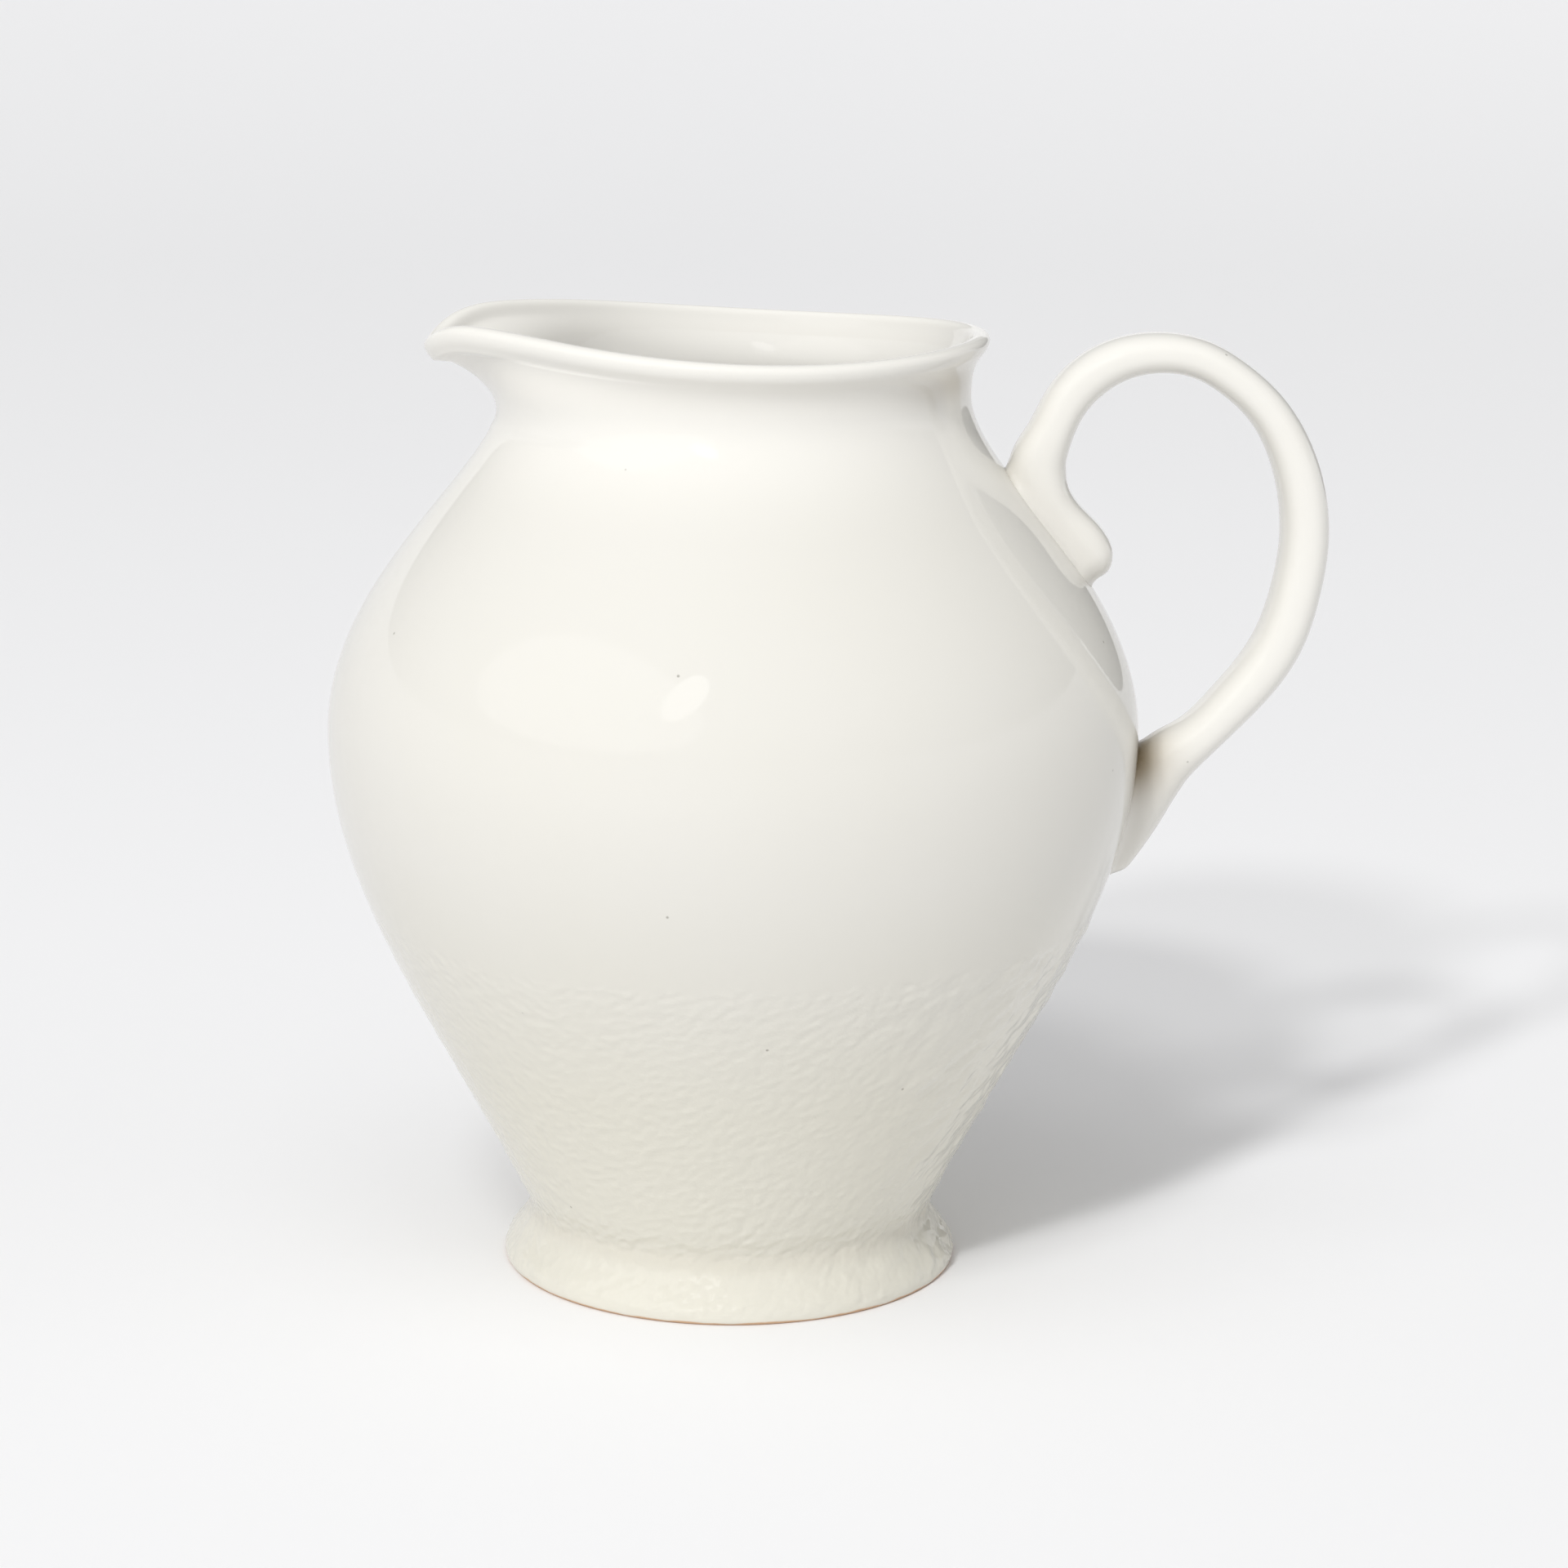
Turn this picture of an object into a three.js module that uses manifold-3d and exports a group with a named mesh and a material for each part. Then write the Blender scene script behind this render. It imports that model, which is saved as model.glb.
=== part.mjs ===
// Ceramic pitcher: a round-bellied stoneware jug on a flared foot ring, with a rolled lip drawn
// out into a spout and a strap handle laid on the shoulder and tailed down the belly.
//
// The clay pieces are the thrown vessel, the foot ring and the handle. Each is luted to its
// neighbour with slip, and each bed of slip is a piece of its own. The glaze over them is a
// finish, not a piece. Millimetres, +Z up, the spout towards -X and the handle towards +X.

import * as THREE from 'three';
import { mergeVertices } from 'three/addons/utils/BufferGeometryUtils.js';
import Module from 'manifold-3d';

const wasm = await Module();
wasm.setup();

// ---------------------------------------------------------------- driving dimensions

const FOOT_RADIUS = 61;
const FOOT_EDGE_HEIGHT = 1.6;
const FOOT_FLARE_REACH = 4;
const FOOT_BORE_RADIUS = 49;
const FOOT_BORE_TAPER = 3;
const WAIST_RADIUS = 54.5;
const WAIST_HEIGHT = 15;
const BELLY_RADIUS = 106.8;
const BELLY_HEIGHT = 145;
const NECK_RADIUS = 61;
const NECK_HEIGHT = 234;
const LIP_RADIUS = 65;
const LIP_HEIGHT = 246;
const RIM_HEIGHT = 250;
const LIP_THICKNESS = 5;
const WALL = 5.5;
const FLOOR_THICKNESS = 6.5;
const FLOOR_CORNER_HEIGHT = 9;
const FLOOR_CORNER_WIDTH = 14;

// How far each stretch of the outline holds its own direction before it bends to the next.
const LOWER_WALL_REACH = 51;
const LOWER_WALL_FLARE = 0.49;
const BELLY_REACH_DOWN = 40;
const BELLY_REACH_UP = 41;
const NECK_REACH = 20;
const LIP_REACH = 5;

// The part of a radius that bends one cubic curve into a quarter of a round.
const QUARTER_ROUND = 0.55;

// The rim line dips and rises round the mouth, and rises most beside the spout.
const RIM_TILT = 2.7;
const RIM_CANT = 0.5;
const RIM_SADDLE = 2.2;
const RIM_LIFT = 1.2;
const SPOUT_PULL = 15.5;
const SPOUT_HALF_ANGLE = THREE.MathUtils.degToRad(25);
const SPOUT_DIP = 6.5;
const SPOUT_DIP_HALF_ANGLE = THREE.MathUtils.degToRad(11.5);
const SPOUT_ROOT_HEIGHT = 222;
const SPOUT_FULL_HEIGHT = 243;
const SPOUT_FLOOR_THICKNESS = 3;
// The ears on either side of the spout droop, the one at the front more.
const EAR_DROP = 2;
const EAR_UNEVENNESS = 0.75;
const EAR_HALF_ANGLE = THREE.MathUtils.degToRad(46);

// Clay pieces meet through a bed of slip, with a hairline of clearance on each side of it.
const CLEARANCE = 0.3;
const SLIP_BED = 0.8;
const SLIP_SQUEEZE = 1.6;

const HANDLE_REACH = 155;

const TURNS = 64;
const STRAP_SIDES = 10;
const STRAP_STEPS = 76;

// The origin is under the middle of the whole object, so the vessel's own axis stands off it.
const VESSEL_AXIS_X = (BELLY_RADIUS - HANDLE_REACH) / 2;

// Centre line of the strap from its end on the shoulder, over the top, to its tail on the belly.
// Each station: distance from the vessel's axis, height, thickness, width.
const STRAP_STATIONS = [
  [95.8, 186.2, 10, 16],
  [91.8, 193, 13.6, 18.5],
  [85.2, 200.6, 13.2, 19.5],
  [80.2, 208, 14, 20],
  [78.6, 215, 15, 19.5],
  [81.2, 223, 12.4, 19],
  [85.2, 231.6, 11.6, 18.5],
  [91.6, 239, 11.6, 18.5],
  [99.8, 243.6, 11, 18.5],
  [110, 245.3, 10.4, 18.5],
  [119.5, 243.9, 10.2, 18.5],
  [128.6, 239, 10.2, 18.5],
  [137.4, 231.2, 10.6, 19],
  [144.4, 219.6, 11.6, 19.5],
  [148.2, 206, 12.4, 20],
  [148.8, 196, 12.6, 20],
  [147.2, 183.6, 12.7, 20.5],
  [143, 169.8, 12.8, 21],
  [137, 160, 12.4, 21],
  [129.8, 151.6, 11.8, 21],
  [121, 142.8, 12.2, 21],
  [113.2, 136, 15.4, 21],
  [108, 125.6, 14, 20],
  [104, 116.6, 11.4, 17.5],
  [99.6, 107.4, 8, 13],
];
const STRAP_END_ROUNDING = 0.03;
const STRAP_END_TIP = 0.25;

const GLAZE = new THREE.Color('#f1f0ec');
const GLAZE_ROUGHNESS = 0.14;
const BARE_SLIP = new THREE.Color('#d9c6a8');
const SLIP_ROUGHNESS = 0.7;
const SAME_CORNER = 1e-4;

// ---------------------------------------------------------------- small tools

/** A closed three.js geometry with shared corners and no triangle folded onto a line. */
function weld(geometry) {
  const bare = geometry.clone();
  bare.deleteAttribute('normal');
  bare.deleteAttribute('uv');
  const merged = mergeVertices(bare, SAME_CORNER);
  const corners = merged.index.array;
  const kept = [];
  for (let i = 0; i < corners.length; i += 3) {
    const [a, b, c] = corners.subarray(i, i + 3);
    if (a !== b && b !== c && c !== a) kept.push(a, b, c);
  }
  merged.setIndex(kept);
  return merged;
}

function toSolid(geometry) {
  const welded = weld(geometry);
  return new wasm.Manifold(new wasm.Mesh({
    numProp: 3,
    vertProperties: new Float32Array(welded.attributes.position.array),
    triVerts: new Uint32Array(welded.index.array),
  }));
}

function toGeometry(solid) {
  const mesh = solid.getMesh();
  const geometry = new THREE.BufferGeometry();
  geometry.setAttribute('position', new THREE.BufferAttribute(mesh.vertProperties, 3));
  geometry.setIndex(new THREE.BufferAttribute(mesh.triVerts, 1));
  return geometry;
}

/** A fired-clay piece: its mesh, standing on the vessel's axis. */
function piece(name, geometry, color, roughness) {
  const material = new THREE.MeshStandardMaterial({ color, roughness, metalness: 0 });
  geometry.computeVertexNormals();
  const mesh = new THREE.Mesh(geometry, material);
  mesh.name = name;
  mesh.position.x = VESSEL_AXIS_X;
  return mesh;
}

/** Turns an outline of (radius, height) points about the vertical axis. */
function turn(points) {
  const geometry = new THREE.LatheGeometry(points, TURNS);
  geometry.rotateX(Math.PI / 2);
  return geometry;
}

/** Points along a curve, each moved square to it: positive distances go to its right. */
function alongside(curve, divisions, distance) {
  const points = [];
  for (let i = 0; i <= divisions; i += 1) {
    const tangent = curve.getTangent(i / divisions);
    const point = curve.getPoint(i / divisions);
    points.push(new THREE.Vector2(point.x + tangent.y * distance, point.y - tangent.x * distance));
  }
  return points;
}

// ---------------------------------------------------------------- vessel outline

const underside = WAIST_HEIGHT + SLIP_BED / 2 + CLEARANCE;
const floorTop = underside + FLOOR_THICKNESS;

const lowerWall = new THREE.CubicBezierCurve(
  new THREE.Vector2(WAIST_RADIUS, underside),
  new THREE.Vector2(WAIST_RADIUS + LOWER_WALL_FLARE * LOWER_WALL_REACH, underside + LOWER_WALL_REACH),
  new THREE.Vector2(BELLY_RADIUS, BELLY_HEIGHT - BELLY_REACH_DOWN),
  new THREE.Vector2(BELLY_RADIUS, BELLY_HEIGHT),
);
const shoulder = new THREE.CubicBezierCurve(
  new THREE.Vector2(BELLY_RADIUS, BELLY_HEIGHT),
  new THREE.Vector2(BELLY_RADIUS, BELLY_HEIGHT + BELLY_REACH_UP),
  new THREE.Vector2(NECK_RADIUS, NECK_HEIGHT - NECK_REACH),
  new THREE.Vector2(NECK_RADIUS, NECK_HEIGHT),
);
const LOWER_WALL_POINTS = 9;
const SHOULDER_POINTS = 11;
const LIP_POINTS = 4;
const FLOOR_CORNER_POINTS = 4;

/** The wall from waist to neck, moved outwards by a distance, or inwards by a negative one. */
function wallLine(distance) {
  const lower = alongside(lowerWall, LOWER_WALL_POINTS, distance);
  const upper = alongside(shoulder, SHOULDER_POINTS, distance);
  return [...lower, ...upper.slice(1)];
}

/** The rolled lip, from the outside of the neck over the rim to the inside of the neck. */
function lipLine() {
  const inside = LIP_RADIUS - LIP_THICKNESS;
  const crest = (LIP_RADIUS + inside) / 2;
  const over = QUARTER_ROUND * (LIP_THICKNESS / 2);
  const up = QUARTER_ROUND * (RIM_HEIGHT - LIP_HEIGHT);
  const lip = new THREE.Path();
  lip.moveTo(NECK_RADIUS, NECK_HEIGHT);
  lip.bezierCurveTo(
    NECK_RADIUS, NECK_HEIGHT + LIP_REACH,
    LIP_RADIUS, LIP_HEIGHT - LIP_REACH,
    LIP_RADIUS, LIP_HEIGHT,
  );
  lip.bezierCurveTo(LIP_RADIUS, LIP_HEIGHT + up, crest + over, RIM_HEIGHT, crest, RIM_HEIGHT);
  lip.bezierCurveTo(crest - over, RIM_HEIGHT, inside, LIP_HEIGHT + up, inside, LIP_HEIGHT);
  lip.quadraticCurveTo(inside, LIP_HEIGHT - LIP_REACH, NECK_RADIUS - WALL, NECK_HEIGHT + WALL);
  return lip.getPoints(LIP_POINTS).slice(1);
}

function vesselOutline() {
  const inside = wallLine(-WALL).reverse();
  const standing = inside.filter((point) => point.y > floorTop + FLOOR_CORNER_HEIGHT);
  const corner = standing[standing.length - 1];
  const floorEdge = new THREE.QuadraticBezierCurve(
    corner,
    new THREE.Vector2(corner.x - LOWER_WALL_FLARE * (corner.y - floorTop), floorTop),
    new THREE.Vector2(corner.x - FLOOR_CORNER_WIDTH, floorTop),
  );
  return [
    new THREE.Vector2(0, underside),
    ...wallLine(0),
    ...lipLine(),
    ...standing,
    ...floorEdge.getPoints(FLOOR_CORNER_POINTS).slice(1),
    new THREE.Vector2(0, floorTop),
  ];
}

/** Height of the finished rim above the level one, round the mouth. */
function rimLift(angle, fromSpout) {
  const lean = RIM_CANT * Math.sin(angle) - RIM_TILT * Math.cos(angle);
  const wave = RIM_LIFT + lean + RIM_SADDLE * Math.cos(2 * angle);
  const dip = SPOUT_DIP * Math.exp(-((fromSpout / SPOUT_DIP_HALF_ANGLE) ** 2));
  const uneven = 1 - EAR_UNEVENNESS * Math.sin(angle);
  const droop = EAR_DROP * uneven * Math.exp(-((fromSpout / EAR_HALF_ANGLE) ** 2));
  return wave - dip - droop;
}

/** Lifts the rim into its wave and pulls the spout out of the soft lip. */
function shapeMouth(geometry) {
  const position = geometry.attributes.position;
  for (let i = 0; i < position.count; i += 1) {
    const x = position.getX(i);
    const y = position.getY(i);
    const z = position.getZ(i);
    const radius = Math.hypot(x, y);
    if (z > SPOUT_ROOT_HEIGHT && radius > 0) {
      const angle = Math.atan2(y, x);
      const fromSpout = Math.PI - Math.abs(angle);
      const isInside = radius < LIP_RADIUS - LIP_THICKNESS / 2;
      const level = z - SPOUT_ROOT_HEIGHT - (isInside ? SPOUT_FLOOR_THICKNESS : 0);
      const pulled = THREE.MathUtils.clamp(level / (SPOUT_FULL_HEIGHT - SPOUT_ROOT_HEIGHT), 0, 1) ** 2;
      const pull = SPOUT_PULL * pulled * Math.exp(-((fromSpout / SPOUT_HALF_ANGLE) ** 2));
      const lifted = THREE.MathUtils.smoothstep(z, SPOUT_ROOT_HEIGHT, RIM_HEIGHT);
      const stretch = (radius + pull) / radius;
      position.setXYZ(i, x * stretch, y * stretch, z + lifted * rimLift(angle, fromSpout));
    }
  }
  return geometry;
}

function vesselBody() {
  return piece('vessel_body', weld(shapeMouth(turn(vesselOutline()))), GLAZE, GLAZE_ROUGHNESS);
}

// ---------------------------------------------------------------- foot

const FOOT_POINTS = 7;

function footRing() {
  const top = WAIST_HEIGHT - SLIP_BED / 2 - CLEARANCE;
  const boreTop = FOOT_BORE_RADIUS - FOOT_BORE_TAPER;
  const outline = new THREE.Path();
  outline.moveTo(FOOT_BORE_RADIUS, 0);
  outline.lineTo(FOOT_RADIUS - FOOT_EDGE_HEIGHT, 0);
  outline.quadraticCurveTo(FOOT_RADIUS, 0, FOOT_RADIUS, FOOT_EDGE_HEIGHT);
  outline.bezierCurveTo(
    FOOT_RADIUS, FOOT_EDGE_HEIGHT + FOOT_FLARE_REACH,
    WAIST_RADIUS, top - FOOT_FLARE_REACH,
    WAIST_RADIUS, top,
  );
  outline.lineTo(boreTop, top);
  outline.lineTo(FOOT_BORE_RADIUS, 0);
  return piece('foot_ring', weld(turn(outline.getPoints(FOOT_POINTS))), GLAZE, GLAZE_ROUGHNESS);
}

function footSlip() {
  const outline = new THREE.Path();
  outline.moveTo(FOOT_BORE_RADIUS - FOOT_BORE_TAPER, WAIST_HEIGHT - SLIP_BED / 2);
  outline.lineTo(WAIST_RADIUS, WAIST_HEIGHT - SLIP_BED / 2);
  outline.lineTo(WAIST_RADIUS, WAIST_HEIGHT + SLIP_BED / 2);
  outline.lineTo(FOOT_BORE_RADIUS - FOOT_BORE_TAPER, WAIST_HEIGHT + SLIP_BED / 2);
  outline.closePath();
  return piece('foot_slip_joint', weld(turn(outline.getPoints())), BARE_SLIP, SLIP_ROUGHNESS);
}

// ---------------------------------------------------------------- handle

const strapRoute = new THREE.CatmullRomCurve3(
  STRAP_STATIONS.map(([reach, height]) => new THREE.Vector3(reach, 0, height)),
);
const strapSection = new THREE.SplineCurve(
  STRAP_STATIONS.map(([, , thickness, width]) => new THREE.Vector2(thickness, width)),
);

/** How full the strap is at a place along it: it rounds off towards both of its ends. */
function endFullness(along) {
  const fromEnd = Math.min(along, 1 - along) / STRAP_END_ROUNDING;
  return fromEnd >= 1 ? 1 : Math.max(STRAP_END_TIP, Math.sqrt(1 - (1 - fromEnd) ** 2));
}

/** A straight oval bar bent onto the strap's route, made fatter all round by `grow`. */
function bendStrap(grow) {
  const oval = new THREE.Shape();
  oval.absellipse(0, 0, 0.5, 0.5, 0, 2 * Math.PI);
  const bar = new THREE.ExtrudeGeometry(oval, {
    depth: 1,
    steps: STRAP_STEPS,
    curveSegments: STRAP_SIDES,
    bevelEnabled: false,
  });
  const position = bar.attributes.position;
  for (let i = 0; i < position.count; i += 1) {
    const along = THREE.MathUtils.clamp(position.getZ(i), 0, 1);
    const centre = strapRoute.getPoint(along);
    const heading = strapRoute.getTangent(along);
    const section = strapSection.getPoint(along);
    const full = endFullness(along);
    const across = position.getX(i) * (section.x * full + 2 * grow);
    const sideways = position.getY(i) * (section.y * full + 2 * grow);
    position.setXYZ(i, centre.x + heading.z * across, sideways, centre.z - heading.x * across);
  }
  return toSolid(bar);
}

/** The filled-in vessel, fatter all round by a distance: what the handle is fitted against. */
function filledVessel(distance) {
  const wall = wallLine(distance);
  const outline = [
    new THREE.Vector2(0, wall[0].y),
    ...wall,
    new THREE.Vector2(0, wall[wall.length - 1].y),
  ];
  return toSolid(turn(outline));
}

function handle() {
  const clay = bendStrap(0).subtract(filledVessel(SLIP_BED + 2 * CLEARANCE));
  return piece('handle', toGeometry(clay), GLAZE, GLAZE_ROUGHNESS);
}

/** The beds of slip under the strap's two ends, which squeeze out a little past its edges. */
function handleSlips() {
  const bed = filledVessel(SLIP_BED + CLEARANCE).subtract(filledVessel(CLEARANCE));
  const [first, second] = bed.intersect(bendStrap(SLIP_SQUEEZE)).decompose();
  const isFirstUpper = first.boundingBox().max[2] > second.boundingBox().max[2];
  const [upper, lower] = isFirstUpper ? [first, second] : [second, first];
  return [
    piece('upper_handle_slip_joint', toGeometry(upper), BARE_SLIP, SLIP_ROUGHNESS),
    piece('lower_handle_slip_joint', toGeometry(lower), BARE_SLIP, SLIP_ROUGHNESS),
  ];
}

// ---------------------------------------------------------------- assembly

const pitcher = new THREE.Group();
pitcher.name = 'ceramic_pitcher';
pitcher.add(vesselBody(), footSlip(), footRing(), handle(), ...handleSlips());

export default pitcher;
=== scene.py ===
"""A white glazed stoneware pitcher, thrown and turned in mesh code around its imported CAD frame.

The vessel and its foot are one glazed skin. The strap handle is drawn out, bent, laid on the
shoulder and smeared down the belly. The foot's standing edge is wiped clean down to bare clay.
Lengths are in millimetres up to the moment a mesh is made, and in metres from then on.
"""
import math

import bpy
import numpy as np
from mathutils import Matrix, Vector, kdtree, noise


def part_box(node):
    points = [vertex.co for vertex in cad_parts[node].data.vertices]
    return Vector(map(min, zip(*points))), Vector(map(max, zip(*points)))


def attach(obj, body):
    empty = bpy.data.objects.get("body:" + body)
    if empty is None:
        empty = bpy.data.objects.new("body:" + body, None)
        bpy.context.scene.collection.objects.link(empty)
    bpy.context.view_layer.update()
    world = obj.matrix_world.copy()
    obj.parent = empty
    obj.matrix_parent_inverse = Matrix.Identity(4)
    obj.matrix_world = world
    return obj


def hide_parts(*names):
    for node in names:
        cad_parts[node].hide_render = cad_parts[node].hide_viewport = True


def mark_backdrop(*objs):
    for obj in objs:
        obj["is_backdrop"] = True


MM = 0.001

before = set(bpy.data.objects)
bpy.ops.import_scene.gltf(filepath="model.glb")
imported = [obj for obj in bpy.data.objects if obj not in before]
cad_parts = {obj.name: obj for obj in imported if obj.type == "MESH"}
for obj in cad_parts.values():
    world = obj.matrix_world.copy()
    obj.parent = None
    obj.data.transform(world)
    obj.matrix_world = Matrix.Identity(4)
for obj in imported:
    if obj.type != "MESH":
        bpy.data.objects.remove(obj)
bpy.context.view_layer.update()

# ---------------------------------------------------------------- where the CAD says things are

body_low, body_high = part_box("vessel_body")
foot_low, foot_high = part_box("foot_ring")

AXIS_X = (body_low.x + body_high.x) / 2 / MM
BELLY_RADIUS = (body_high.x - body_low.x) / 2 / MM
FOOT_RADIUS = (foot_high.x - foot_low.x) / 2 / MM
UNDERSIDE = body_low.z / MM

# ---------------------------------------------------------------- the vessel's own sizes

BELLY_HEIGHT = 145
WAIST_RADIUS = 54.2
WAIST_HEIGHT = 14.5
# Where the waist's hollow ends and the straight lower wall begins: radius and height.
WALL_START = (57.2, 22.6)
NECK_RADIUS = 61
NECK_HEIGHT = 234
LIP_RADIUS = 65.4
LIP_HEIGHT = 248
LIP_THICKNESS = 5
RIM_HEIGHT = 249.8
WALL = 5.5
FLOOR_HEIGHT = 22.2
FOOT_BORE = 49
FOOT_EDGE = 1.4
# The part of a radius that bends one cubic curve into a quarter of a round.
QUARTER_ROUND = 0.55

# The mouth: the rim line waves, and the spout is pulled out of it.
RIM_LIFT = 1.2
RIM_TILT = 2.7
RIM_SADDLE = 2.2
RIM_CANT = 0.5
SPOUT_PULL = 15.5
SPOUT_HALF_ANGLE = math.radians(25)
SPOUT_DIP = 6.5
SPOUT_DIP_HALF_ANGLE = math.radians(11.5)
SPOUT_ROOT_HEIGHT = 222
SPOUT_FULL_HEIGHT = 243
SPOUT_CURL = 2.3
SPOUT_FLOOR_THICKNESS = 3
# The two ears beside the spout droop, the one towards the front more. Fingers pinched them below.
EAR_DROP = 2
EAR_UNEVENNESS = 0.75
EAR_HALF_ANGLE = math.radians(46)
PINCH_DEPTH = 1.1
PINCH_HEIGHT = 237
PINCH_HALF_HEIGHT = 4
PINCH_ANGLE = math.radians(30)
PINCH_HALF_ANGLE = math.radians(15)
# Pulling the spout thinned the wall of the ears.
THINNING = 2.3
THINNED_HEIGHT = 236
THINNED_HALF_HEIGHT = 7
THINNED_ANGLE = math.radians(36)
THINNED_HALF_ANGLE = math.radians(24)

# The rippled glaze below the belly: short leaning strokes, with finer ones over them.
RIPPLE_TOP = 99
RIPPLE_FADE = 1.8
RIPPLE_LENGTH = 2.8
RIPPLE_PITCH = 1.9
RIPPLE_LEAN = 0.35
RIPPLE_TURN_X = -45
RIPPLE_DEPTH = 0.25
FINE_TO_COARSE = 2.1
FINE_PITCH = 1.2
FINE_SHARE = 0.5
PATCH_WIDTH = 24
PATCH_HEIGHT = 18
PATCH_MEAN = 0.85
PATCH_SWING = 0.35
# The side away from the spout was handled more and wrinkled. The foot is lumpy all round.
WRINKLES_START_X = 30
WRINKLES_FULL_X = 58
WRINKLE_PITCH = 6.5
WRINKLE_SQUASH = 1.4
WRINKLE_DEPTH = 0.55
FOOT_LUMP_DEPTH = 0.3
FOOT_LUMPS_FULL = 12
FOOT_LUMPS_END = 22

# The strap, from its end on the shoulder, over the top, to its tail on the belly.
# Each station: distance from the vessel's axis, height, thickness, width.
STRAP_STATIONS = (
    (95.8, 186.2, 10, 16),
    (91.8, 193, 13.6, 18.5),
    (85.2, 200.6, 13.2, 19.5),
    (80.2, 208, 14, 20),
    (78.6, 215, 15, 19.5),
    (81.2, 223, 12.4, 19),
    (85.2, 231.6, 11.6, 18.5),
    (91.6, 239, 11.6, 18.5),
    (99.8, 243.6, 11, 18.5),
    (110, 245.3, 10.4, 18.5),
    (119.5, 243.9, 10.2, 18.5),
    (128.6, 239, 10.2, 18.5),
    (137.4, 231.2, 10.6, 19),
    (144.4, 219.6, 11.6, 19.5),
    (148.2, 206, 12.4, 20),
    (148.8, 196, 12.6, 20),
    (147.2, 183.6, 12.7, 20.5),
    (143, 169.8, 12.8, 21),
    (137, 160, 12.4, 21),
    (129.8, 151.6, 11.8, 21),
    (121, 142.8, 12.2, 21),
    (113.2, 136, 15.4, 21),
    (108, 125.6, 14, 20),
    (104, 116.6, 11.4, 17.5),
    (99.6, 107.4, 8, 13),
)
STRAP_SIDES = 72
STRAP_SPACING = 0.9
STRAP_SQUARENESS = 2.5
CLAY_SMEAR = 3.4
ROOT_DEPTH = 3

# Where the glaze pooled, with painted shade over it: beside the handle, less far out on the wall
# than up the strap.
POOL_AND_SHADE_REACH = 5
WALL_POOL_AND_SHADE_NARROWER = 2
STRAP_POOL_AND_SHADE_NARROWER = 0.7
BESIDE_HANDLE_X = 60
BESIDE_HANDLE_HALF_WIDTH = 24
BESIDE_HANDLE_LOW = 95
BESIDE_HANDLE_HIGH = 225
# The lower joint kept a deep crevice, where the glaze pooled brown and painted shade darkens it.
# The upper one was wiped, and keeps a faint painted shade.
CREVICE_HEIGHT = 139
CREVICE_HALF_HEIGHT = 9
WIPED_POOL_AND_SHADE = 0.12
# Painted shade under the lip all round, deeper and warmer on the handle's side of the front, where
# it also stands for a warm painted reflection.
WARM_SHADE_ANGLE = math.radians(-27)
WARM_SHADE_HALF_ANGLE = math.radians(15)
UNDER_LIP_SHADE_HEIGHT = 240
UNDER_LIP_SHADE_HALF_HEIGHT = 5
WARM_PAINTED_SHADE = 0.32
UNDER_LIP_PAINTED_SHADE = 0.06
# Painted shade in the crease of the waist.
WAIST_PAINTED_SHADE = 0.12
WAIST_SHADE_HALF_HEIGHT = 3
# Painted light: a whiter tone brightens the lip and neck down to here, and most of the handle.
PAINTED_LIGHT_END = 205
PAINTED_LIGHT_FULL = 236
HANDLE_PAINTED_LIGHT = 0.8

TURN_SIDES = 720


# ---------------------------------------------------------------- curves

def arc(p0, p1, p2, p3, spacing):
    """Points along one cubic curve, about `spacing` apart, without its first point."""
    p0, p1, p2, p3 = (np.array(p, float) for p in (p0, p1, p2, p3))
    steps = max(2, int(round(np.linalg.norm(p3 - p0) * 1.05 / spacing)))
    t = np.linspace(0, 1, steps + 1)[1:, None]
    s = 1 - t
    return s**3 * p0 + 3 * s**2 * t * p1 + 3 * s * t**2 * p2 + t**3 * p3


def spline_through(stations, spacing):
    """A smooth line through the stations, sampled about `spacing` apart."""
    knots = np.array(stations, float)
    gaps = np.linalg.norm(np.diff(knots[:, :2], axis=0), axis=1)
    at = np.concatenate([[0], np.cumsum(gaps)])
    n = len(at)
    system = np.zeros((n, n))
    right = np.zeros_like(knots)
    system[0, 0] = system[-1, -1] = 1
    for i in range(1, n - 1):
        system[i, i - 1] = gaps[i - 1]
        system[i, i] = 2 * (gaps[i - 1] + gaps[i])
        system[i, i + 1] = gaps[i]
        step_on = (knots[i + 1] - knots[i]) / gaps[i]
        step_back = (knots[i] - knots[i - 1]) / gaps[i - 1]
        right[i] = 6 * (step_on - step_back)
    bend = np.linalg.solve(system, right)
    s = np.linspace(0, at[-1], int(at[-1] / spacing))
    i = np.clip(np.searchsorted(at, s, side="right") - 1, 0, n - 2)
    a = ((at[i + 1] - s) / gaps[i])[:, None]
    b = ((s - at[i]) / gaps[i])[:, None]
    gap = gaps[i][:, None]
    curve = a * knots[i] + b * knots[i + 1]
    return s, curve + ((a**3 - a) * bend[i] + (b**3 - b) * bend[i + 1]) * gap**2 / 6


def smoothstep(x, low, high):
    t = np.clip((x - low) / (high - low), 0, 1)
    return t * t * (3 - 2 * t)


# ---------------------------------------------------------------- vessel

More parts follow.
